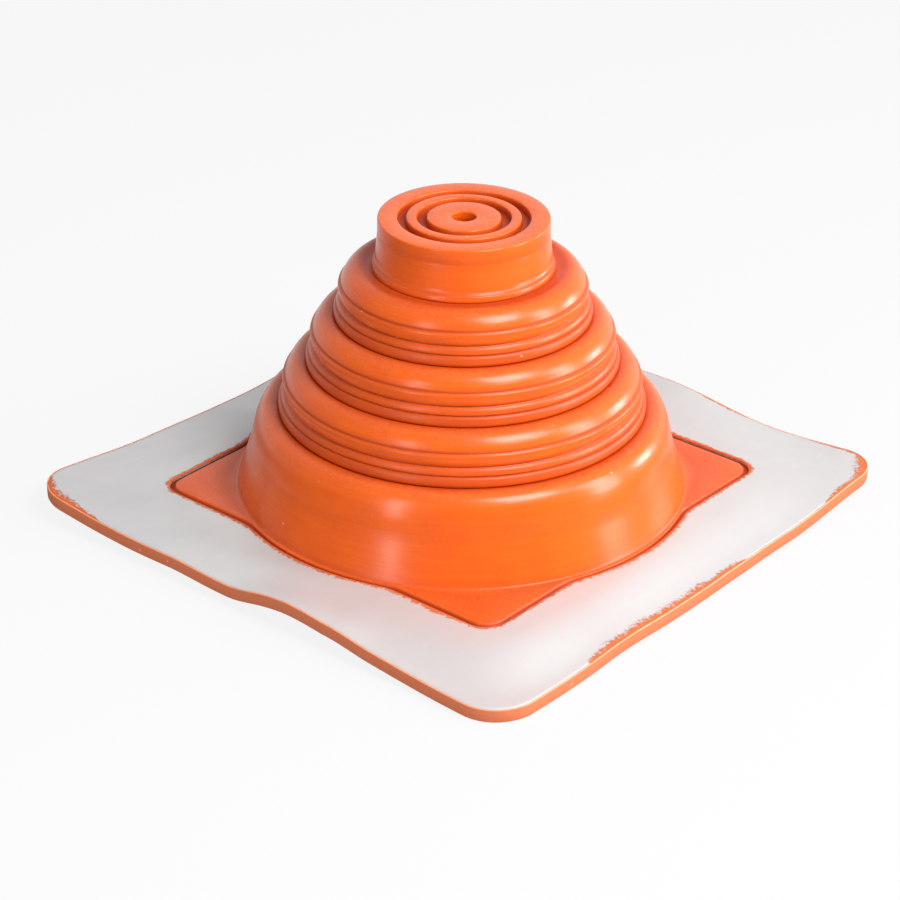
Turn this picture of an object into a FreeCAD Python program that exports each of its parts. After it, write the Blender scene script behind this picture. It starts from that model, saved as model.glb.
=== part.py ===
"""Pipe flashing boot: a moulded silicone cone on a square pad faced with a soft aluminium flange.

Millimetres, +Z up.  The cone's axis is the Z axis, the square's sides run along X and Y, and
z = 0 is the plane that the sealing rib under the pad stands on.
"""
import FreeCAD, Part
import os

V = FreeCAD.Vector

# ---- square base -----------------------------------------------------------------------------
SIDE = 114.3                # 4 1/2 in square, an estimate
CORNER_RADIUS = 8.5
RIB_HEIGHT = 2.5            # the sealing rib stands this far below the pad
PAD_THICKNESS = 2.5         # rubber with the metal let into its top
METAL_THICKNESS = 0.7
EDGE_LIP = 0.3              # rubber that wraps the metal's outer edge
PAD_BOTTOM = RIB_HEIGHT
PAD_TOP = PAD_BOTTOM + PAD_THICKNESS
METAL_BOTTOM = PAD_TOP - METAL_THICKNESS

# The opening in the metal is a rounded square joined with a circle round the cup.
OPENING_SIDE = 79.8
OPENING_CORNER = 4.5
OPENING_RADIUS = 43.2

# ---- stepped cone: (radius, height above PAD_TOP) -----------------------------------------------
CONE_HEIGHT = 53.0
COLLAR_RADIUS = 15.6
TOP_EDGE = 0.3              # softened top edge
COLLAR_FOOT = (16.15, 45.0)
COLLAR_BEAD = (17.05, 44.3)
COLLAR_END = (17.4, 43.5)
RINGS = 3
RING_STEP = 5.2             # each ring is this much larger than the one above
RING_DROP = 9.25            # and this much lower
RING_LINE = (22.35, 40.45)  # first cutting line, where the rounded shoulder meets the wall
RING_BEADS = (              # beads down the wall: crown, then the groove or foot below it
    ((22.78, 39.20), (22.10, 37.80)),
    ((23.02, 37.00), (22.72, 36.30)),
    ((23.62, 35.25), (23.15, 34.30)),
)
CUP_WALL_TOP = (39.2, 8.6)
CUP_RADIUS = 42.0           # where the cup meets the pad
CONE_SINK = 1.5             # the cone's body starts this far inside the pad
SHOULDER_STEPS = 3
BEAD_STEPS = 2

# Concentric cutting grooves in the closed top, and the pilot hole.
WEB_THICKNESS = 3.0
TOP_GROOVES = ((6.7, 8.55), (10.4, 12.05))
TOP_GROOVE_DEPTH = 1.4
PILOT_RADIUS = 2.2

# ---- inside of the cone: (radius, height above PAD_TOP) ------------------------------------------
COLLAR_BORE = ((13.7, CONE_HEIGHT - WEB_THICKNESS), (13.7, 40.9))
RING_BORE = ((20.0, 40.9), (20.0, 31.65))
CUP_BORE = (35.3, 13.15)
MOUTH_RADIUS = 39.3         # a little below the plane that the part stands on

# ---- sealing rib round the mouth, under the flat middle of the pad --------------------------------
RIB_RADIUS = 41.6
RIB_SINK = 0.5              # the rib's body reaches this far into the pad

# ---- hand-bent rim -----------------------------------------------------------------------------
# The soft flange is flat round the cup and bent up or down towards its rim.  Each bend has a
# place on the rim, a reach and a height; the spline lowers the shortest, so those are given higher.
FLAT_HALF = 43.5
BENDS = (
    (-57, -57, 36, 1.4),
    (-38, -57, 18, -0.7),
    (-22, -57, 16, -0.25),
    (-6, -57, 14, -0.75),
    (6, -57, 12, 1.5),
    (16, -57, 12, 0.9),
    (36, -57, 22, -0.25),
    (57, -57, 40, -2.35),
    (57, -28, 26, -1.45),
    (57, -2, 26, -2.1),
    (57, 26, 24, -1.5),
    (57, 57, 36, 0.45),
    (32, 57, 26, -1.3),
    (6, 57, 26, 0.95),
    (-57, 0, 26, -1.6),
    (-57, -28, 26, -0.9),
)
SURFACE_HALF = 60.0
SPANS_ACROSS = 12           # along X, where the near edge has its short bends
SPANS_DEEP = 6              # along Y
DEGREE = 3


def rim_lift(x, y):
    """Height of the bent base above its flat state at a point of the plan."""
    outward = (abs(x) ** 8 + abs(y) ** 8) ** 0.125
    ramp = (outward - FLAT_HALF) / (SIDE / 2 - FLAT_HALF)
    ramp = min(max(ramp, 0.0), 1.0)
    lift = 0.0
    for bend_x, bend_y, reach, height in BENDS:
        nearness = 1.0 - ((x - bend_x) ** 2 + (y - bend_y) ** 2) / reach ** 2
        lift += height * max(nearness, 0.0) ** 2
    return lift * ramp * ramp * (3 - 2 * ramp)


def spline_grid(spans):
    """Knots and multiplicities of even spans, and the places that their poles stand for."""
    knots = list(range(spans + 1))
    mults = [DEGREE + 1] + [1] * (spans - 1) + [DEGREE + 1]
    sequence = [0] * DEGREE + knots + [spans] * DEGREE
    means = [sum(sequence[i + 1:i + 1 + DEGREE]) / DEGREE for i in range(spans + DEGREE)]
    return knots, mults, [SURFACE_HALF * (2 * mean / spans - 1) for mean in means]


def bent_slab(bottom, top):
    """Solid between two copies of the bent surface, a little wider than the base."""
    knots_x, mults_x, across = spline_grid(SPANS_ACROSS)
    knots_y, mults_y, deep = spline_grid(SPANS_DEEP)
    poles = [[V(x, y, bottom + rim_lift(x, y)) for y in deep] for x in across]
    surface = Part.BSplineSurface()
    surface.buildFromPolesMultsKnots(
        poles, mults_x, mults_y, knots_x, knots_y, False, False, DEGREE, DEGREE)
    return surface.toShape().extrude(V(0, 0, top - bottom))


def rounded_prism(side, radius, bottom, top):
    """Upright prism on a square with rounded corners, centred on the axis."""
    box = Part.makeBox(side, side, top - bottom, V(-side / 2, -side / 2, bottom))
    upright = [edge for edge in box.Edges if abs(edge.tangentAt(edge.FirstParameter).z) > 0.9]
    return box.makeFillet(radius, upright)


def disc(radius, bottom, top):
    return Part.makeCylinder(radius, top - bottom, V(0, 0, bottom))


def opening_prism(bottom, top):
    """Upright prism of the opening in the metal."""
    square = rounded_prism(OPENING_SIDE, OPENING_CORNER, bottom, top)
    return square.fuse(disc(OPENING_RADIUS, bottom, top)).removeSplitter()


def at(point, ring=0):
    """Place of a profile point in the XZ plane, on one of the rings."""
    radius, height = point
    return V(radius + ring * RING_STEP, 0, PAD_TOP + height - ring * RING_DROP)


def rounded(curve, steps):
    """Points along a curve after its start, for a profile whose round stretches are in short steps."""
    return curve.discretize(steps + 1)[1:]


def shoulder(start, end, out, rise, drop, lean):
    """Rounded shoulder from a junction, out and over, and down to a wall."""
    curve = Part.BezierCurve()
    curve.setPoles([start, start + V(out, 0, rise), end + V(-lean, 0, drop), end])
    return rounded(curve, SHOULDER_STEPS)


def revolved(points):
    """Solid of revolution of a profile that starts and ends on the axis."""
    return Part.Face(Part.makePolygon(points + [points[0]])).revolve(V(0, 0, 0), V(0, 0, 1), 360)


def cone_outside():
    """Collar, rings and cup as one full body, sunk a little into the pad."""
    top = PAD_TOP + CONE_HEIGHT
    points = [V(0, 0, top), V(COLLAR_RADIUS - TOP_EDGE, 0, top), V(COLLAR_RADIUS, 0, top - TOP_EDGE)]
    points += [at(COLLAR_FOOT)]
    points += rounded(Part.Arc(points[-1], at(COLLAR_BEAD), at(COLLAR_END)), BEAD_STEPS)
    for ring in range(RINGS):
        points += shoulder(points[-1], at(RING_LINE, ring), 1.9, 0.9, 1.95, 0.5)
        for crown, end in RING_BEADS:
            points += rounded(Part.Arc(points[-1], at(crown, ring), at(end, ring)), BEAD_STEPS)
    wall_top = at(CUP_WALL_TOP)
    down_wall = at((CUP_RADIUS, 0)) - wall_top
    sunk = wall_top + down_wall * (1 + CONE_SINK / CUP_WALL_TOP[1])
    points += shoulder(points[-1], wall_top, 4.1, 1.4, 4.0, 0.6)
    return revolved(points + [sunk, V(0, 0, sunk.z)])


def cone_inside():
    """The hollow: a stepped bore that follows the rings, open at the mouth."""
    points = [V(0, 0, at(COLLAR_BORE[0]).z)] + [at(point) for point in COLLAR_BORE]
    for ring in range(RINGS):
        points += [at(point, ring) for point in RING_BORE]
    points += [at(CUP_BORE)]
    return revolved(points + [V(MOUTH_RADIUS, 0, -1), V(0, 0, -1)])


def top_cuts():
    """Pilot hole and the concentric cutting grooves of the closed top."""
    top = PAD_TOP + CONE_HEIGHT
    cuts = [disc(PILOT_RADIUS, top - 2 * WEB_THICKNESS, top + 1)]
    for inner, outer in TOP_GROOVES:
        floor = top - TOP_GROOVE_DEPTH
        cuts.append(disc(outer, floor, top + 1).cut(disc(inner, floor, top + 1)))
    return cuts


def metal_plan(bottom, top):
    """Upright prism of the flange's plan: the square inside the lip, less the opening."""
    square = rounded_prism(SIDE - 2 * EDGE_LIP, CORNER_RADIUS - EDGE_LIP, bottom, top)
    return square.cut(opening_prism(bottom, top))


def silicone_boot():
    tall = PAD_TOP + 8
    pad = bent_slab(PAD_BOTTOM, PAD_TOP).common(rounded_prism(SIDE, CORNER_RADIUS, -8, tall))
    pad = pad.cut(bent_slab(METAL_BOTTOM, PAD_TOP + 2).common(metal_plan(-8, tall)))
    boot = pad.fuse([cone_outside(), disc(RIB_RADIUS, 0, PAD_BOTTOM + RIB_SINK)])
    return boot.cut([cone_inside()] + top_cuts()).removeSplitter()


def aluminium_flange():
    return bent_slab(METAL_BOTTOM, PAD_TOP).common(metal_plan(-8, PAD_TOP + 8))


os.makedirs("parts", exist_ok=True)
for name, build in (("silicone_boot", silicone_boot), ("aluminium_flange", aluminium_flange)):
    shape = build()
    solid = shape.Solids[0]
    solid.exportStep(f"parts/{name}.step")
    box = solid.BoundBox
    print(name, "solids", len(shape.Solids), "valid", solid.isValid(), "faces", len(solid.Faces),
          "volume", round(solid.Volume), "z", round(box.ZMin, 3), round(box.ZMax, 3))
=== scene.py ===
"""Pipe flashing boot: a stepped silicone cone moulded onto a soft aluminium flange.

Sizes are in millimetres and become metres where a mesh is made.  The cone's axis is the Z axis,
and z = 0 is the plane that the sealing rib under the pad stands on.
"""
import math

import bpy
import bmesh
from mathutils import Matrix, Vector
from mathutils.geometry import interpolate_bezier


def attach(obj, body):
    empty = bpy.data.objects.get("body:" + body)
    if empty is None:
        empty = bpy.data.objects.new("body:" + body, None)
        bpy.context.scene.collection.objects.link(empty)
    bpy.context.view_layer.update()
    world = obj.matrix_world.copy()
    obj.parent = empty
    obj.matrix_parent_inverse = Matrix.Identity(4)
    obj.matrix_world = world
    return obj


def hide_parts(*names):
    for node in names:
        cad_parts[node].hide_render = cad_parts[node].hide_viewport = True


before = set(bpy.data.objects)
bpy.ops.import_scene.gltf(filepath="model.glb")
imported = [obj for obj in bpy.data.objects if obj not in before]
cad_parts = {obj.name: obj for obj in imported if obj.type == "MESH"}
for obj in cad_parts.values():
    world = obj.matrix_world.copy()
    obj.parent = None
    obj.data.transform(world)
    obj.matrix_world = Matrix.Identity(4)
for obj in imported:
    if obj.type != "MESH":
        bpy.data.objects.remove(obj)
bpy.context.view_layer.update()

MM = 0.001

# ---- square base -----------------------------------------------------------------------------
SIDE = 114.3
CORNER_RADIUS = 8.5
RIB_HEIGHT = 2.5            # the sealing rib stands this far below the pad
PAD_THICKNESS = 2.5
METAL_THICKNESS = 0.7
EDGE_LIP = 0.3              # rubber that wraps the metal's outer edge
PAD_TOP = RIB_HEIGHT + PAD_THICKNESS

# The metal's opening is a rounded square joined with a circle round the cup.
OPENING_SIDE = 79.8
OPENING_CORNER = 4.5
OPENING_RADIUS = 43.2
OPENING_BLEND = 0.35        # how softly the two outlines run into each other

# ---- stepped cone: (radius, height above PAD_TOP) ----------------------------------------------
CONE_HEIGHT = 53.0
TOP_GROOVES = ((6.7, 8.55), (10.4, 12.05))
TOP_GROOVE_DEPTH = 1.4
TOP_GROOVE_DRAFT = 0.12     # each groove is this much narrower on both sides at its floor
PILOT_RADIUS = 2.2
WEB_THICKNESS = 3.0

COLLAR_RADIUS = 15.6
COLLAR_LINE = (15.64, 50.3)                 # fine cut line below the top's edge
COLLAR_NECK = (16.2, 44.6)
COLLAR_CROWN = (16.62, 44.05)
COLLAR_FOOT = (16.5, 43.4)

RINGS = 3
RING_STEP = 5.2                             # each ring is this much larger than the one above
RING_DROP = 9.25                            # and this much lower
RING_START = (18.1, 43.42)
RING_LINE = (22.35, 40.45)                  # fine cut line where the shoulder meets the wall
RING_BEADS = (                              # crown, the groove or foot below it, steps to each
    ((22.80, 39.20), (22.12, 37.80), 3),
    ((23.05, 37.05), (22.70, 36.25), 3),
    ((23.65, 35.35), (23.05, 34.15), 4),
)
CUP_WALL_TOP = (39.2, 8.6)
CUP_RADIUS = 42.0

# How a curve leans out of its start and back from its end.
COLLAR_FLARE = (Vector((0.06, 0, -1.8)), Vector((-0.08, 0, 1.4)))
RING_SHOULDER = (Vector((1.9, 0, 0.9)), Vector((-0.5, 0, 1.95)))
CUP_SHOULDER = (Vector((3.9, 0, 1.4)), Vector((-0.6, 0, 4.0)))

LINE_WIDTH = 0.2
COLLAR_LINE_DEPTH = 0.03
RING_LINE_DEPTH = 0.05

# How far each kind of corner is rounded off.
TOP_EASING = 0.26
GROOVE_FLOOR_EASING = 0.16
COLLAR_EDGE_EASING = 0.55
CUP_FOOT_EASING = 0.3
BORE_EASING = 0.5
WEB_EASING = 0.15

# Shares of a chord that the handles of rounds and beads reach along.
ROUND_HANDLE = 0.55
CROWN_HANDLE = 0.28
BEAD_HANDLE = 0.9

# From the end of the last bead: the crease's floor, then the flat that follows it.
CREASE_FLOOR = Vector((-0.1, 0, -0.12))
CREASE_FLAT = Vector((0.25, 0, 0.02))

# ---- inside of the cone: (radius, height above PAD_TOP) ------------------------------------------
RIB_RADIUS = 41.6
MOUTH_RADIUS = 39.1
CUP_BORE = (35.3, 13.15)
RING_BORE = ((20.0, 31.65), (20.0, 40.9))
COLLAR_BORE = ((13.7, 40.9), (13.7, CONE_HEIGHT - WEB_THICKNESS))

# ---- hand-bent rim: place on the rim, reach and height of each bend ------------------------------
FLAT_HALF = 43.5            # the base is flat inside this half width
SQUARENESS = 8              # of the contours along which the bends rise
BENDS = (
    (-57, -57, 36, 1.4),
    (-38, -57, 18, -0.7),
    (-22, -57, 16, -0.25),
    (-6, -57, 14, -0.75),
    (6, -57, 12, 1.15),
    (16, -57, 12, 0.7),
    (36, -57, 22, -0.25),
    (57, -57, 40, -2.35),
    (57, -28, 26, -1.45),
    (57, -2, 26, -2.1),
    (57, 26, 24, -1.5),
    (57, 57, 36, 0.45),
    (32, 57, 26, -1.3),
    (6, 57, 26, 0.95),
    (-57, 0, 26, -1.6),
    (-57, -28, 26, -0.9),
)

# Points round every loop, drawn together towards the square's corners.
ROUND = 360
CORNER_CROWDING = 0.5       # 0 spaces them evenly; towards 1 they meet at the corners
ANGLES = []
for step in range(ROUND):
    even = 2 * math.pi * step / ROUND
    ANGLES.append(even + CORNER_CROWDING * math.sin(4 * even) / 4)


# ---- node helpers --------------------------------------------------------------------------------
def linked(tree, kind, inputs=None, **settings):
    """A node with its settings, and its inputs set to values or linked to sockets."""
    node = tree.nodes.new(kind)
    for key, value in settings.items():
        setattr(node, key, value)
    for key, value in (inputs or {}).items():
        if isinstance(value, bpy.types.NodeSocket):
            tree.links.new(value, node.inputs[key])
        else:
            node.inputs[key].default_value = value
    return node


def maths(tree, operation, first, second=0.0, third=0.0, clamp=False):
    return linked(tree, "ShaderNodeMath", {0: first, 1: second, 2: third}, operation=operation,
                  use_clamp=clamp).outputs[0]


def vector_maths(tree, operation, inputs):
    """Vector result of an operation; DOT_PRODUCT and LENGTH give their number instead."""
    node = linked(tree, "ShaderNodeVectorMath", inputs, operation=operation)
    return node.outputs[1 if operation in ("DOT_PRODUCT", "LENGTH") else 0]


def mixed(tree, share, first, second):
    """Colour between two colours."""
    node = linked(tree, "ShaderNodeMix", {0: share}, data_type="RGBA")
    for socket, value in ((node.inputs[6], first), (node.inputs[7], second)):
        if isinstance(value, bpy.types.NodeSocket):
            tree.links.new(value, socket)
        else:
            socket.default_value = value
    return node.outputs[2]


def ramped(tree, value, low, high, out_low=0.0, out_high=1.0):
    """Smooth step from one level to another as a value rises from low to high."""
    return linked(tree, "ShaderNodeMapRange", {0: value, 1: low, 2: high, 3: out_low, 4: out_high},
                  interpolation_type="SMOOTHSTEP").outputs[0]


def noise_of(tree, vector, scale, detail, roughness):
    return linked(tree, "ShaderNodeTexNoise", {"Vector": vector, "Scale": scale, "Detail": detail,
                                               "Roughness": roughness}).outputs[0]


def level_of(tree, name):
    """A mesh attribute's value."""
    return linked(tree, "ShaderNodeAttribute", attribute_name=name).outputs["Fac"]


def rgb(red, green, blue):
    return (red, green, blue, 1.0)


# ---- outlines in plan ------------------------------------------------------------------------------
def rim_lift(x, y):
    """Height of the bent base above its flat state at a point of the plan."""
    outward = (abs(x) ** SQUARENESS + abs(y) ** SQUARENESS) ** (1 / SQUARENESS)
    ramp = (outward - FLAT_HALF) / (SIDE / 2 - FLAT_HALF)
    ramp = min(max(ramp, 0.0), 1.0)
    lift = 0.0
    for bend_x, bend_y, reach, height in BENDS:
        nearness = 1.0 - ((x - bend_x) ** 2 + (y - bend_y) ** 2) / reach ** 2
        lift += height * max(nearness, 0.0) ** 2
    return lift * ramp * ramp * (3 - 2 * ramp)


def rounded_square(side, corner, angle):
    """Distance from the centre to a rounded square's outline in one direction."""
    long = max(abs(math.cos(angle)), abs(math.sin(angle)))
    short = min(abs(math.cos(angle)), abs(math.sin(angle)))
    half = side / 2
    inner = half - corner
    if half / long * short <= inner:
        return half / long
    along = inner * (long + short)
    return along + math.sqrt(along * along - 2 * inner * inner + corner * corner)


def opening(angle, grow=0.0):
    """Distance to the edge of the metal's opening."""
    square = rounded_square(OPENING_SIDE + 2 * grow, OPENING_CORNER + grow, angle)
    circle = OPENING_RADIUS + grow
    gap = abs(square - circle)
    return max(square, circle) + OPENING_BLEND * math.log1p(math.exp(-gap / OPENING_BLEND))


def circle(radius):
    """Distance function of a circle."""
    return lambda angle: radius


def base_edge(inset):
    """Distance function of the base's edge, or of an outline inside it."""
    return lambda angle: rounded_square(SIDE - 2 * inset, CORNER_RADIUS - inset, angle)


def between(inner, outer, share):
    """Distance function part of the way between two outlines."""
    return lambda angle: inner(angle) + share * (outer(angle) - inner(angle))


def circle_loop(radius, height):
    return [Vector((radius * math.cos(a), radius * math.sin(a), height)) for a in ANGLES]


def plan_loop(distance, height):
    """Loop that follows the bent base, at a distance from the axis in each direction."""
    loop = []
    for angle in ANGLES:
        x = distance(angle) * math.cos(angle)
        y = distance(angle) * math.sin(angle)
        loop.append(Vector((x, y, height + rim_lift(x, y))))
    return loop


# ---- meshes ------------------------------------------------------------------------------------------
def facing_out(mesh):
    """Turn a mesh's faces outwards and shade them smooth."""
    build = bmesh.new()
    build.from_mesh(mesh)
    bmesh.ops.recalc_face_normals(build, faces=build.faces)
    for face in build.faces:
        face.smooth = True
    build.to_mesh(mesh)
    build.free()


def placed(name, data):
    """Object of a mesh, camera or light, in the scene."""
    thing = bpy.data.objects.new(name, data)
    bpy.context.collection.objects.link(thing)
    return thing


def loops_mesh(name, loops, closed):
    """Mesh of quads between loops of equal count, joined end to start when closed."""
    points = [point * MM for loop in loops for point in loop]
    faces = []
    bands = len(loops) if closed else len(loops) - 1
    for band in range(bands):
        here = band * ROUND
        there = (band + 1) % len(loops) * ROUND
        for k in range(ROUND):
            after = (k + 1) % ROUND
            faces.append((here + k, there + k, there + after, here + after))
    mesh = bpy.data.meshes.new(name)
    mesh.from_pydata(points, [], faces)
    facing_out(mesh)
    return placed(name, mesh)


def marked(piece, name, levels):
    """Attribute with one level for each of a piece's points."""
    attribute = piece.data.attributes.new(name, "FLOAT", "POINT")
    attribute.data.foreach_set("value", levels)


def all_round(levels):
    """One level for each loop, repeated for all points of the loop."""
    return [level for level in levels for angle in ANGLES]


def grown(name, carrier, tree, values, spent):
    """Plain closed mesh from a carrier's Geometry Nodes, with what it was grown from removed."""
    modifier = carrier.modifiers.new("grow", "NODES")
    modifier.node_group = tree
    for item in tree.interface.items_tree:
        if item.in_out == "INPUT" and item.name in values:
            modifier[item.identifier] = values[item.name]
    carrier.update_tag()
    view = bpy.context.evaluated_depsgraph_get()
    view.update()
    mesh = bpy.data.meshes.new_from_object(carrier.evaluated_get(view), depsgraph=view)
    carrier.modifiers.remove(modifier)
    for used in spent:
        bpy.data.meshes.remove(used.data)
    mesh.name = name
    facing_out(mesh)
    return placed(name, mesh)


# ---- profile of the cone ---------------------------------------------------------------------------
def at(point, ring=0):
    """Place of a profile point in the XZ plane, on one of the rings."""
    radius, height = point
    return Vector((radius + ring * RING_STEP, 0, PAD_TOP + height - ring * RING_DROP))


def curve(start, lean_out, lean_back, end, steps):
    """Points of a cubic curve after its start."""
    return interpolate_bezier(start, start + lean_out, end + lean_back, end, steps + 1)[1:]


def bead(start, crown, end, steps):
    """Rounded bead from a groove, over its crown, to the next groove."""
    lean = (crown - (start + end) / 2) * BEAD_HANDLE
    first = curve(start, lean, (start - end) * CROWN_HANDLE, crown, steps)
    return first + curve(crown, (end - start) * CROWN_HANDLE, lean, end, steps)


def cut_line(point, depth):
    """Fine line cut round the wall: a point above, its floor, and a point below."""
    half = Vector((0, 0, LINE_WIDTH / 2))
    return [point + half, point - Vector((depth, 0, 0)), point - half]


def softened(corner, before, after, reach):
    """Short round at a corner of the profile."""
    start = corner + (before - corner).normalized() * reach
    end = corner + (after - corner).normalized() * reach
    return [start] + curve(start, (corner - start) * ROUND_HANDLE, (corner - end) * ROUND_HANDLE, end, 3)


def top_profile():
    """From the pilot hole out across the grooved top to the collar's edge."""
    top = PAD_TOP + CONE_HEIGHT
    floor = top - TOP_GROOVE_DEPTH
    corners = [Vector((PILOT_RADIUS, 0, top - WEB_THICKNESS)), Vector((PILOT_RADIUS, 0, top))]
    for inner, outer in TOP_GROOVES:
        corners += [Vector((inner, 0, top)), Vector((inner + TOP_GROOVE_DRAFT, 0, floor)),
                    Vector((outer - TOP_GROOVE_DRAFT, 0, floor)), Vector((outer, 0, top))]
    corners += [Vector((COLLAR_RADIUS, 0, top)), Vector((COLLAR_RADIUS, 0, PAD_TOP))]
    points = []
    for before, corner, after in zip(corners, corners[1:], corners[2:]):
        reach = TOP_EASING if corner.z == top else GROOVE_FLOOR_EASING
        if corner.x == COLLAR_RADIUS:
            reach = COLLAR_EDGE_EASING
        points += softened(corner, before, after, reach)
    return points


def collar_profile():
    """Down the slightly flared collar, past its cut line, to the start of the first ring."""
    points = cut_line(at(COLLAR_LINE), COLLAR_LINE_DEPTH)
    points += curve(points[-1], *COLLAR_FLARE, at(COLLAR_NECK), 4)
    points += bead(points[-1], at(COLLAR_CROWN), at(COLLAR_FOOT), 4)
    return points + [points[-1] + CREASE_FLOOR, points[-1] + CREASE_FLAT, at(RING_START)]


def ring_profile():
    """The first ring, from the start of its shoulder to the start of the next one's."""
    start, line = at(RING_START), at(RING_LINE)
    points = [start] + curve(start, *RING_SHOULDER, line, 11)[:-1] + cut_line(line, RING_LINE_DEPTH)
    for crown, end, steps in RING_BEADS:
        points += bead(points[-1], at(crown), at(end), steps)
    return points + [points[-1] + CREASE_FLOOR, at(RING_START, 1)]


def cup_profile():
    """From the end of the last ring over the cup's shoulder and down its wall."""
    start = at(RING_START, RINGS)
    wall_top = at(CUP_WALL_TOP)
    foot = at((CUP_RADIUS, 0.0))
    shoulder = [start] + curve(start, *CUP_SHOULDER, wall_top, 12)
    wall = [wall_top.lerp(foot, share) for share in (0.25, 0.5, 0.75, 0.92)]
    return shoulder + wall + softened(foot, wall_top, foot + Vector((1, 0, 0)), CUP_FOOT_EASING)


def inner_profile():
    """From the mouth up the stepped bore to the underside of the closed top."""
    web = at((PILOT_RADIUS, CONE_HEIGHT - WEB_THICKNESS))
    corners = [Vector((RIB_RADIUS, 0, 0)), Vector((MOUTH_RADIUS, 0, 0)), at(CUP_BORE)]
    for ring in reversed(range(RINGS)):
        corners += [at(point, ring) for point in RING_BORE]
    corners += [at(point) for point in COLLAR_BORE] + [web]
    points = []
    for before, corner, after in zip(corners, corners[1:], corners[2:]):
        points += softened(corner, before, after, BORE_EASING)
    return points + [web + Vector((WEB_EASING, 0, 0)), web + Vector((0, 0, WEB_EASING))]


# ---- the silicone moulding ---------------------------------------------------------------------------
WELD = 0.001                # points nearer than this become one

# Strips across the land in the opening, then (share of the way to the metal, depth) down the crease.
LAND_START = CUP_RADIUS + 0.3
LAND_LEAST = 0.05           # width where the cup comes close to the metal
LAND_INSET = 1.3            # from the land's edge to the metal's
LAND_SHARES = (0.2, 0.4, 0.6, 0.8, 1.0)
CREASE_STEPS = ((0.12, 0.03), (0.22, 0.16), (0.3, 0.4), (0.4, 0.6), (0.88, 0.6), (0.95, 0.86))
RECESS_SHARES = (0.2, 0.4, 0.6, 0.8, 0.98)
RECESS_BOTTOM = PAD_TOP - METAL_THICKNESS - 0.06
LIP_STEPS = (               # (inset from the base's edge, height) over the lip and down the edge
    (0.29, RECESS_BOTTOM), (0.28, PAD_TOP - 0.04), (0.22, PAD_TOP + 0.03), (0.12, PAD_TOP + 0.02),
    (0.04, PAD_TOP - 0.05), (0.0, PAD_TOP - 0.2), (0.0, PAD_TOP - 1.2), (0.02, RIB_HEIGHT + 0.3),
    (0.1, RIB_HEIGHT + 0.1), (0.3, RIB_HEIGHT),
)
RIB_FILLET = 0.4
UNDERSIDE_SHARES = (0.12, 0.24, 0.37, 0.5, 0.65, 0.82, 1.0)
RIB_STEPS = (               # (distance outside the rib, height) down the rib
    (0.12, RIB_HEIGHT - 0.12), (0.0, RIB_HEIGHT - 0.4), (0.0, 0.3), (-0.08, 0.09), (-0.3, 0.0),
)

# Painted shade on the pad's first loops: on the land next to the cup and in the crease at the metal's edge.
# Then how worn each of the pad's loops is, with a painted highlight on the lip's top.
PAD_SHADES = [0.5, 0.4, 0.35, 0.3, 0.3, 0.3, 0.4, 0.9, 1.0, 1.0, 1.0]
PAD_WEAR_AND_HIGHLIGHT = [0.0] * 16 + [0.5] * 2 + [1.0] * 3 + [0.5] * 5

# Turn in radians that gives full painted shade in a crease, and how far the painted shade reaches.
TOP_CREASE_SHADE = (0.9, 0.75)
CONE_CREASE_SHADE = (2.8, 0.5)
SLIGHT_TURN = 0.05
JUNCTION_TURN = 2.0
# Sharp junctions also get painted shade on the shoulder below them: how far it reaches, and how dark it is.
JUNCTION_REACH = 2.6
JUNCTION_SHADE = 0.45


def pad_loops():
    """Land round the cup, crease at the metal's edge, recess under the metal, lip and edge."""
    start, rim = circle(LAND_START), base_edge(EDGE_LIP)

    def land(angle):
        return max(opening(angle, -LAND_INSET), LAND_START + LAND_LEAST)

    loops = [plan_loop(between(start, land, share), PAD_TOP) for share in LAND_SHARES]
    loops += [plan_loop(between(land, opening, share), PAD_TOP - depth) for share, depth in CREASE_STEPS]
    loops += [plan_loop(between(opening, rim, share), RECESS_BOTTOM) for share in RECESS_SHARES]
    return loops + [plan_loop(base_edge(inset), height) for inset, height in LIP_STEPS]


def underside_loops():
    """From the base's edge in under the pad and down the sealing rib."""
    outer, inner = base_edge(EDGE_LIP), circle(RIB_RADIUS + RIB_FILLET)
    loops = [plan_loop(between(outer, inner, share), RIB_HEIGHT) for share in UNDERSIDE_SHARES]
    return loops + [circle_loop(RIB_RADIUS + out, height) for out, height in RIB_STEPS]


def crease_shades(points, full_turn, reach):
    """Painted shade at each point of the profile, from 0 to 1. It is deeper the deeper the point lies in a
    crease.

    Sharp junctions also paint shade on the shoulder that follows them, where the step above overhangs it.
    """
    shades = [0.0] * len(points)
    for k in range(1, len(points) - 1):
        coming, going = points[k] - points[k - 1], points[k + 1] - points[k]
        turn = math.atan2(coming.x * going.z - coming.z * going.x, coming.dot(going))
        for other, point in enumerate(points):
            away = (point - points[k]).length
            if turn > SLIGHT_TURN:
                near = reach if turn < JUNCTION_TURN else reach / 2
                shades[other] += turn / full_turn * math.exp(-(away / near) ** 2)
            if turn > JUNCTION_TURN and other > k:
                shades[other] += JUNCTION_SHADE * math.exp(-(away / JUNCTION_REACH) ** 2)
    return [min(depth, 1.0) for depth in shades]


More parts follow.
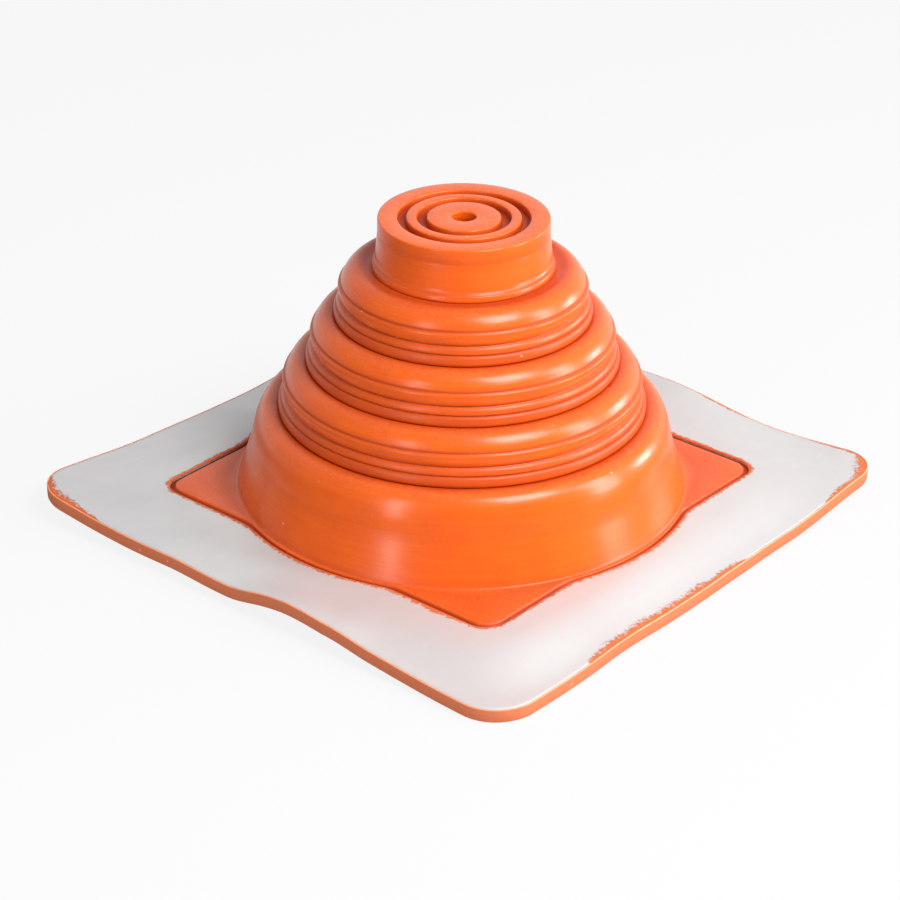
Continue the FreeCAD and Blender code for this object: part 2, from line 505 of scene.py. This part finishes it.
def ring_steps():
    """Tree that repeats one ring down the cone, each step wider and lower, and welds the moulding."""
    tree = bpy.data.node_groups.new("ring_steps", "GeometryNodeTree")
    face = tree.interface
    face.new_socket("Geometry", in_out="INPUT", socket_type="NodeSocketGeometry")
    for name, kind in (("Rings", "NodeSocketInt"), ("Ring Step", "NodeSocketFloat"),
                       ("Ring Drop", "NodeSocketFloat"), ("Rest Of Moulding", "NodeSocketObject"),
                       ("Material", "NodeSocketMaterial")):
        face.new_socket(name, in_out="INPUT", socket_type=kind)
    face.new_socket("Geometry", in_out="OUTPUT", socket_type="NodeSocketGeometry")
    given = tree.nodes.new("NodeGroupInput").outputs
    copies = linked(tree, "GeometryNodeDuplicateElements",
                    {"Geometry": given["Geometry"], "Amount": given["Rings"]}, domain="FACE").outputs
    count = copies["Duplicate Index"]
    position = tree.nodes.new("GeometryNodeInputPosition").outputs[0]
    place = linked(tree, "ShaderNodeSeparateXYZ", {0: position}).outputs
    flat = linked(tree, "ShaderNodeCombineXYZ", {0: place[0], 1: place[1]}).outputs[0]
    outward = vector_maths(tree, "NORMALIZE", {0: flat})
    widening = maths(tree, "MULTIPLY", count, given["Ring Step"])
    wider = vector_maths(tree, "SCALE", {0: outward, "Scale": widening})
    drop = maths(tree, "MULTIPLY", maths(tree, "MULTIPLY", count, given["Ring Drop"]), -1.0)
    lower = linked(tree, "ShaderNodeCombineXYZ", {2: drop}).outputs[0]
    offset = vector_maths(tree, "ADD", {0: wider, 1: lower})
    rings = linked(tree, "GeometryNodeSetPosition", {"Geometry": copies["Geometry"], "Offset": offset})
    rest = linked(tree, "GeometryNodeObjectInfo", {"Object": given["Rest Of Moulding"]})
    both = tree.nodes.new("GeometryNodeJoinGeometry")
    tree.links.new(rings.outputs[0], both.inputs[0])
    tree.links.new(rest.outputs["Geometry"], both.inputs[0])
    real = linked(tree, "GeometryNodeRealizeInstances", {0: both.outputs[0]})
    whole = linked(tree, "GeometryNodeMergeByDistance",
                   {"Geometry": real.outputs[0], "Distance": WELD * MM})
    coated = linked(tree, "GeometryNodeSetMaterial",
                    {"Geometry": whole.outputs[0], "Material": given["Material"]})
    tree.links.new(coated.outputs[0], tree.nodes.new("NodeGroupOutput").inputs[0])
    return tree


def turned(profile):
    """A loop round the axis for each point of a profile."""
    return [circle_loop(point.x, point.z) for point in profile]


def boot_piece(material):
    """The whole moulding: all but the rings in one strip of loops, and the rings repeated from one."""
    top, collar, ring, cup = top_profile(), collar_profile(), ring_profile(), cup_profile()
    next_ring = [point + Vector((RING_STEP, 0, -RING_DROP)) for point in ring]
    cup_after_ring = [point - cup[0] + ring[-1] for point in cup[1:]]
    before_cup = len(ring) - 1

    # Painted shade in the profile's creases and under its junctions.
    ring_shades = crease_shades(ring + next_ring[1:], *CONE_CREASE_SHADE)[before_cup:]
    cup_shades = crease_shades(ring + cup_after_ring, *CONE_CREASE_SHADE)[before_cup:]
    collar_shades = crease_shades(collar + ring[1:], *CONE_CREASE_SHADE)[:len(collar)]
    top_shades = crease_shades(top, *TOP_CREASE_SHADE)

    # From the cup's shoulder down, over the pad, under it, up the bore and out over the top.
    loops = turned(cup) + pad_loops() + underside_loops() + turned(inner_profile())
    shades = cup_shades + PAD_SHADES
    shades += [0.0] * (len(loops) - len(shades)) + top_shades + collar_shades
    loops += turned(top + collar)
    # Wear on the lip and the edge below it. Its full level on the lip's top is a painted highlight.
    wear_and_highlight = [0.0] * len(cup) + PAD_WEAR_AND_HIGHLIGHT
    wear_and_highlight += [0.0] * (len(loops) - len(wear_and_highlight))
    rest = loops_mesh("rest_of_moulding", loops, closed=False)
    marked(rest, "crease_shade", all_round(shades))
    marked(rest, "edge_wear_and_highlight", all_round(wear_and_highlight))

    band = loops_mesh("ring_band", turned(ring), closed=False)
    marked(band, "crease_shade", all_round(ring_shades))
    marked(band, "edge_wear_and_highlight", all_round([0.0] * len(ring)))
    return grown("silicone_moulding", band, ring_steps(),
                 {"Rings": RINGS, "Ring Step": RING_STEP * MM, "Ring Drop": RING_DROP * MM,
                  "Rest Of Moulding": rest, "Material": material}, (band, rest))


# ---- the aluminium flange --------------------------------------------------------------------------
# Shares of the way from the opening to the rim, and how far the sheet's edges are eased.
SHEET_SHARES = [0.0, 0.004] + [step / 26 for step in range(1, 26)] + [0.996, 1.0]
SHEET_EASING = 0.08

# Thin smears of rubber that bled over the metal: place, reach along the edge, width.
EDGE_SMEARS = (
    (-54, -57, 5, 1.5), (-48, -57, 5, 1.8), (-43, -57, 4, 0.9),
    (57, -31, 3, 1.2), (57, -26, 6, 1.7), (57, -18, 6, 1.9), (57, -10, 6, 1.7), (57, -2, 6, 1.7),
    (57, 6, 6, 1.2), (57, 43, 5, 1.1), (56, 52, 6, 1.8), (48, 57, 8, 0.6), (20, 57, 6, 0.5),
)
OPENING_SMEARS = (
    (24, -40, 4, 1.2), (28, -40, 3, 1.9), (32, -40, 3, 1.3), (-40, -40, 3, 1.1), (-40, -36, 3, 0.7),
    (40, 40, 4, 1.1), (-40, 40, 4, 0.9), (40, -22, 6, 0.5),
)
EDGE_HALO = 0.02            # least width of the rubber along the rim
OPENING_HALO = 0.9          # and along the opening


def smear(point, distance, places, halo):
    """How surely rubber covers the metal, from the distance to the edge that it bled over."""
    width = halo
    for place_x, place_y, reach, wide in places:
        nearness = 1.0 - ((point.x - place_x) ** 2 + (point.y - place_y) ** 2) / reach ** 2
        width = max(width, wide * math.sqrt(max(nearness, 0.0)))
    return max(0.0, 1.0 - distance / (2 * width))


def rubber_cover(loop, share):
    """Cover of each point of a loop on the upper face."""
    rim = base_edge(EDGE_LIP)
    cover = []
    for angle, point in zip(ANGLES, loop):
        span = rim(angle) - opening(angle)
        square_on = max(abs(math.cos(angle)), abs(math.sin(angle)))
        from_opening = smear(point, share * span, OPENING_SMEARS, OPENING_HALO)
        from_rim = smear(point, (1 - share) * span * square_on, EDGE_SMEARS, EDGE_HALO)
        cover.append(max(from_opening, from_rim))
    return cover


def flange_piece(material):
    """The sheet: out across its upper face and back across its lower one."""
    rim = base_edge(EDGE_LIP)
    loops, cover = [], []
    for share in SHEET_SHARES:
        height = PAD_TOP - (SHEET_EASING if share in (0.0, 1.0) else 0.0)
        loops.append(plan_loop(between(opening, rim, share), height))
        cover += rubber_cover(loops[-1], share)
    for share in reversed(SHEET_SHARES):
        height = PAD_TOP - METAL_THICKNESS + (SHEET_EASING if share in (0.0, 1.0) else 0.0)
        loops.append(plan_loop(between(opening, rim, share), height))
    piece = loops_mesh("soft_flange", loops, closed=True)
    marked(piece, "rubber_cover", cover + all_round([0.0] * len(SHEET_SHARES)))
    piece.data.materials.append(material)
    return piece


# ---- finishes ----------------------------------------------------------------------------------------
ORANGE = rgb(0.84, 0.120, 0.006)
ORANGE_DEEP = rgb(0.77, 0.098, 0.004)
# Painted shade for creases, under junctions and on the land round the cup.
ORANGE_CREASE_SHADE = rgb(0.36, 0.027, 0.001)
ORANGE_SCUFFED = rgb(0.66, 0.185, 0.080)
# Painted highlight along the lip's top.
ORANGE_LIP_HIGHLIGHT = rgb(0.90, 0.36, 0.19)
# Mostly a painted sheen on what faces up, partly a pale bloom.
ORANGE_TOP_SHEEN = rgb(0.92, 0.30, 0.14)
ALUMINIUM = rgb(0.69, 0.69, 0.69)
ALUMINIUM_DULL = rgb(0.61, 0.615, 0.615)
DUST = rgb(0.95, 0.60, 0.42)
RUBBER_FILM = rgb(0.47, 0.145, 0.062)

SILICONE_ROUGHNESS = (0.22, 0.28)
SILICONE_SHINE = 0.4
WORN_ROUGHNESS = 0.25       # added where the silicone is worn or creased
METAL_ROUGHNESS = (0.5, 0.6)
METALLIC = 0.45
MOTTLE_RANGE = (0.3, 0.75)  # the mottling's values that a range of a finish follows
MOULD_MARK_HEIGHT = 0.00005
MILL_MARK_HEIGHT = 0.00006

DUST_SCALE = 260.0
DUST_SIZE = (0.03, 0.07)    # a speck's core and edge, as shares of its cell
DUST_CHANCE = 0.6           # cells whose chance is above this have a speck


def surface_grain():
    """Group: fine grain, slow mottling and stretched streaks, on object coordinates."""
    group = bpy.data.node_groups.new("surface_grain", "ShaderNodeTree")
    face = group.interface
    for name, kind, usual in (("Grain Scale", "NodeSocketFloat", 2500),
                              ("Mottle Scale", "NodeSocketFloat", 120),
                              ("Streak Scale", "NodeSocketVector", (1, 1, 1))):
        face.new_socket(name, in_out="INPUT", socket_type=kind).default_value = usual
    for name in ("Grain", "Mottle", "Streak"):
        face.new_socket(name, in_out="OUTPUT", socket_type="NodeSocketFloat")
    given = group.nodes.new("NodeGroupInput").outputs
    result = group.nodes.new("NodeGroupOutput")
    place = group.nodes.new("ShaderNodeTexCoord").outputs["Object"]
    grain = noise_of(group, place, given["Grain Scale"], 3.0, 0.6)
    mottle = noise_of(group, place, given["Mottle Scale"], 4.0, 0.55)
    stretched = vector_maths(group, "MULTIPLY", {0: place, 1: given["Streak Scale"]})
    streak = noise_of(group, stretched, 1.0, 3.0, 0.6)
    for name, value in (("Grain", grain), ("Mottle", mottle), ("Streak", streak)):
        group.links.new(value, result.inputs[name])
    return group


def grain_of(tree, group, grain, mottle, streak):
    """Outputs of the grain group placed in a material, with the material's own scales."""
    node = tree.nodes.new("ShaderNodeGroup")
    node.node_tree = group
    node.inputs["Grain Scale"].default_value = grain
    node.inputs["Mottle Scale"].default_value = mottle
    node.inputs["Streak Scale"].default_value = streak
    return node.outputs


def dust_mask(tree):
    """Few small specks, at most one in each cell of a few millimetres."""
    place = tree.nodes.new("ShaderNodeTexCoord").outputs["Object"]
    cells = linked(tree, "ShaderNodeTexVoronoi", {"Vector": place, "Scale": DUST_SCALE})
    chance = linked(tree, "ShaderNodeSeparateColor", {0: cells.outputs["Color"]}).outputs[0]
    speck = ramped(tree, cells.outputs["Distance"], *DUST_SIZE, 1.0, 0.0)
    return maths(tree, "MULTIPLY", speck, maths(tree, "GREATER_THAN", chance, DUST_CHANCE))


def new_material(name):
    material = bpy.data.materials.new(name)
    material.use_nodes = True
    return material, material.node_tree, material.node_tree.nodes["Principled BSDF"]


def silicone_material(group):
    """Satin red-orange silicone with fine mould marks, painted shade in its creases, a painted sheen on
    what faces up and a painted highlight along the lip.
    """
    material, tree, shader = new_material("satin_silicone")
    grain = grain_of(tree, group, 1800, 140, (60, 60, 2600))
    # Painted shade: how dark each crease and each shoulder under a junction is painted.
    crease = level_of(tree, "crease_shade")
    wear_and_highlight = level_of(tree, "edge_wear_and_highlight")

    # Colour: streaked body, painted sheen on what faces up, painted shade in creases, scuffed edges,
    # painted highlight on the lip's top, dust.
    tone = maths(tree, "MULTIPLY_ADD", grain["Streak"], 0.5, maths(tree, "MULTIPLY", grain["Mottle"], 0.5))
    colour = mixed(tree, ramped(tree, tone, 0.38, 0.64), ORANGE, ORANGE_DEEP)
    # Painted sheen: what faces up is paler, as if lit from above, mostly sheen and partly a pale bloom.
    normal = tree.nodes.new("ShaderNodeNewGeometry").outputs["Normal"]
    upward = ramped(tree, linked(tree, "ShaderNodeSeparateXYZ", {0: normal}).outputs[2], 0.3, 1.0)
    top_sheen = maths(tree, "MULTIPLY", upward, ramped(tree, grain["Grain"], 0.3, 0.7))
    colour = mixed(tree, maths(tree, "MULTIPLY", top_sheen, 0.24), colour, ORANGE_TOP_SHEEN)
    # Painted shade in creases and under junctions.
    colour = mixed(tree, maths(tree, "MULTIPLY", crease, 0.85), colour, ORANGE_CREASE_SHADE)
    patchy = ramped(tree, grain["Grain"], 0.25, 0.6, 0.6, 1.0)
    scuffed = maths(tree, "MULTIPLY", ramped(tree, wear_and_highlight, 0.0, 0.5), patchy)
    colour = mixed(tree, scuffed, colour, ORANGE_SCUFFED)
    # Painted highlight: the lip's top, at the full level, is paler.
    colour = mixed(tree, ramped(tree, wear_and_highlight, 0.55, 1.0), colour, ORANGE_LIP_HIGHLIGHT)
    colour = mixed(tree, maths(tree, "MULTIPLY", dust_mask(tree), 0.7), colour, DUST)
    tree.links.new(colour, shader.inputs["Base Color"])

    # Sheen: satin, duller where it is worn or creased.
    shader.inputs["Specular IOR Level"].default_value = SILICONE_SHINE
    rough = ramped(tree, grain["Mottle"], *MOTTLE_RANGE, *SILICONE_ROUGHNESS)
    worn = maths(tree, "MAXIMUM", wear_and_highlight, crease)
    rough = maths(tree, "MULTIPLY_ADD", worn, WORN_ROUGHNESS, rough, clamp=True)
    tree.links.new(rough, shader.inputs["Roughness"])

    height = maths(tree, "ADD", maths(tree, "MULTIPLY", grain["Grain"], 0.5), grain["Streak"])
    bump = linked(tree, "ShaderNodeBump",
                  {"Strength": 0.4, "Distance": MOULD_MARK_HEIGHT, "Height": height})
    tree.links.new(bump.outputs[0], shader.inputs["Normal"])
    return material


def aluminium_material(group):
    """Dull mill-finish sheet, faintly mottled, with ragged smears of rubber along its edges."""
    material, tree, shader = new_material("mill_aluminium")
    grain = grain_of(tree, group, 1500, 90, (900, 60, 60))
    cover = level_of(tree, "rubber_cover")
    ragged = maths(tree, "MULTIPLY", maths(tree, "SUBTRACT", grain["Grain"], 0.5), 1.2)
    rubber = ramped(tree, maths(tree, "ADD", cover, ragged), 0.4, 0.8)

    # Colour: bare metal with dull mottles and streaks, then thin or full rubber over it.
    mottled = ramped(tree, grain["Mottle"], *MOTTLE_RANGE, 0.0, 0.5)
    metal = mixed(tree, mottled, ALUMINIUM, ALUMINIUM_DULL)
    metal = mixed(tree, maths(tree, "MULTIPLY", grain["Streak"], 0.3), metal, ALUMINIUM_DULL)
    film = mixed(tree, ramped(tree, cover, 0.6, 1.0, 0.0, 0.8), RUBBER_FILM, ORANGE)
    tree.links.new(mixed(tree, rubber, metal, film), shader.inputs["Base Color"])

    # Sheen: dull metal where it is bare.
    bare = maths(tree, "MULTIPLY", maths(tree, "SUBTRACT", 1.0, rubber, clamp=True), METALLIC)
    tree.links.new(bare, shader.inputs["Metallic"])
    rough = ramped(tree, grain["Mottle"], *MOTTLE_RANGE, *METAL_ROUGHNESS)
    tree.links.new(rough, shader.inputs["Roughness"])

    height = maths(tree, "ADD", maths(tree, "MULTIPLY", rubber, 1.2), grain["Streak"])
    bump = linked(tree, "ShaderNodeBump",
                  {"Strength": 0.3, "Distance": MILL_MARK_HEIGHT, "Height": height})
    tree.links.new(bump.outputs[0], shader.inputs["Normal"])
    return material


# ---- camera, floor and light ----------------------------------------------------------------------------
CAMERA_PLACE = Vector((308.42, -367.56, 263.89))
CAMERA_AIM = Vector((-3.14, 0.35, 9.29))
CAMERA_ROLL = 0.48
CAMERA_LENS = 116.0
CAMERA_SENSOR = 36.0

# The floor and the lights are in metres and watts.
FLOOR_HALF = 4.0
FLOOR_WHITENESS = 0.87      # share of plain white in what the camera sees of the floor
FLOOR_CLEAR = (0.037, 0.041)    # from the axis: no white inside the first, all of it past the second
FLOOR_MIRRORED = (0.0, 0.15)    # behind the axis: reflections find the floor white past the second
FLOOR_PALE = rgb(0.6, 0.6, 0.6)
FLOOR_DIM = rgb(0.2, 0.2, 0.2)

WORLD_FILL = 0.28
BACKDROP_FACING = (-0.5, 0.7)   # cosine to the view's direction where reflections dim and brighten
BACKDROP_LEVELS = (0.3, 1.0)

SOFTBOXES = (       # turn to the right of the camera, elevation, distance, width, height, power
    ("key", 42, 50, 0.5, 0.22, 0.22, 2.25),
    ("right_strip", 80, 18, 0.8, 0.2, 0.6, 4.8),
    ("right_rim", 112, 8, 0.8, 0.2, 0.2, 2.0),
    ("left_strip", -34, 16, 0.8, 0.08, 0.6, 1.7),
)


def studio_camera():
    data = bpy.data.cameras.new("studio_camera")
    data.lens = CAMERA_LENS
    data.sensor_width = CAMERA_SENSOR
    data.clip_start = 0.01
    data.clip_end = 20.0
    camera = placed("studio_camera", data)
    turn = (CAMERA_AIM - CAMERA_PLACE).to_track_quat("-Z", "Y").to_matrix().to_4x4()
    camera.matrix_world = (Matrix.Translation(CAMERA_PLACE * MM) @ turn
                           @ Matrix.Rotation(math.radians(CAMERA_ROLL), 4, "Z"))
    bpy.context.scene.camera = camera


def light_paths(tree):
    """Masks of the rays that show the white background, and of those that mirror it."""
    path = tree.nodes.new("ShaderNodeLightPath")
    clear = maths(tree, "MAXIMUM", path.outputs["Is Camera Ray"], path.outputs["Is Transmission Ray"])
    return clear, path.outputs["Is Glossy Ray"]


def floor_whiteness(tree, clear, mirrored):
    """Share of plain white: all round the object for the camera, behind it for reflections."""
    place = tree.nodes.new("ShaderNodeTexCoord").outputs["Object"]
    behind = Vector((-CAMERA_PLACE.x, -CAMERA_PLACE.y, 0)).normalized()
    back = vector_maths(tree, "DOT_PRODUCT", {0: place, 1: behind})
    away = vector_maths(tree, "LENGTH", {0: place})
    in_mirror = maths(tree, "MULTIPLY", mirrored, ramped(tree, back, *FLOOR_MIRRORED))
    shown = ramped(tree, away, *FLOOR_CLEAR, 0.0, FLOOR_WHITENESS)
    return maths(tree, "MAXIMUM", in_mirror, maths(tree, "MULTIPLY", clear, shown))


def studio_floor():
    """Pale floor that keeps the object's shadow and is seen through from below."""
    mesh = bpy.data.meshes.new("studio_floor")
    half = FLOOR_HALF
    mesh.from_pydata([(-half, -half, 0), (half, -half, 0), (half, half, 0), (-half, half, 0)], [],
                     [(0, 1, 2, 3)])
    floor = placed("studio_floor", mesh)
    material, tree, shader = new_material("pale_floor")
    clear, mirrored = light_paths(tree)
    tree.links.new(mixed(tree, mirrored, FLOOR_PALE, FLOOR_DIM), shader.inputs["Base Color"])
    shader.inputs["Roughness"].default_value = 0.9
    glow = linked(tree, "ShaderNodeEmission", {"Color": rgb(1, 1, 1), "Strength": 1.0})
    white = floor_whiteness(tree, clear, mirrored)
    above = linked(tree, "ShaderNodeMixShader", {0: white, 1: shader.outputs[0], 2: glow.outputs[0]})
    below = tree.nodes.new("ShaderNodeBsdfTransparent")
    underneath = tree.nodes.new("ShaderNodeNewGeometry").outputs["Backfacing"]
    either = linked(tree, "ShaderNodeMixShader",
                    {0: underneath, 1: above.outputs[0], 2: below.outputs[0]})
    tree.links.new(either.outputs[0], tree.nodes["Material Output"].inputs["Surface"])
    mesh.materials.append(material)


def studio_world():
    """White backdrop; reflections find it bright behind the object and dim in front."""
    world = bpy.data.worlds.new("studio_world")
    world.use_nodes = True
    bpy.context.scene.world = world
    tree = world.node_tree
    clear, mirrored = light_paths(tree)
    direction = tree.nodes.new("ShaderNodeTexCoord").outputs["Generated"]
    view = (CAMERA_AIM - CAMERA_PLACE).normalized()
    facing = vector_maths(tree, "DOT_PRODUCT", {0: direction, 1: view})
    backdrop = ramped(tree, facing, *BACKDROP_FACING, *BACKDROP_LEVELS)
    strength = linked(tree, "ShaderNodeMix", {0: mirrored, 2: WORLD_FILL, 3: backdrop}).outputs[0]
    strength = linked(tree, "ShaderNodeMix", {0: clear, 2: strength, 3: 1.0}).outputs[0]
    tree.links.new(strength, tree.nodes["Background"].inputs["Strength"])
    tree.nodes["Background"].inputs["Color"].default_value = rgb(1, 1, 1)


def studio_lights():
    front = math.atan2(CAMERA_PLACE.y, CAMERA_PLACE.x)
    for name, turn, elevation, distance, width, height, power in SOFTBOXES:
        data = bpy.data.lights.new(name, "AREA")
        data.shape = "RECTANGLE"
        data.size = width
        data.size_y = height
        data.energy = power
        lamp = placed(name, data)
        around = front + math.radians(turn)
        up = math.radians(elevation)
        away = Vector((math.cos(around) * math.cos(up), math.sin(around) * math.cos(up), math.sin(up)))
        lamp.location = away * distance
        lamp.rotation_euler = away.to_track_quat("Z", "Y").to_euler()


# ---- assembly --------------------------------------------------------------------------------------------
grain_group = surface_grain()
boot = boot_piece(silicone_material(grain_group))
flange = flange_piece(aluminium_material(grain_group))
for piece, node, finish in ((boot, "silicone_boot", "silicone"), (flange, "aluminium_flange", "aluminium")):
    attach(piece, "root")
    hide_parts(node)

studio_floor()
studio_world()
studio_lights()
studio_camera()
bpy.context.scene.view_settings.view_transform = "Standard"
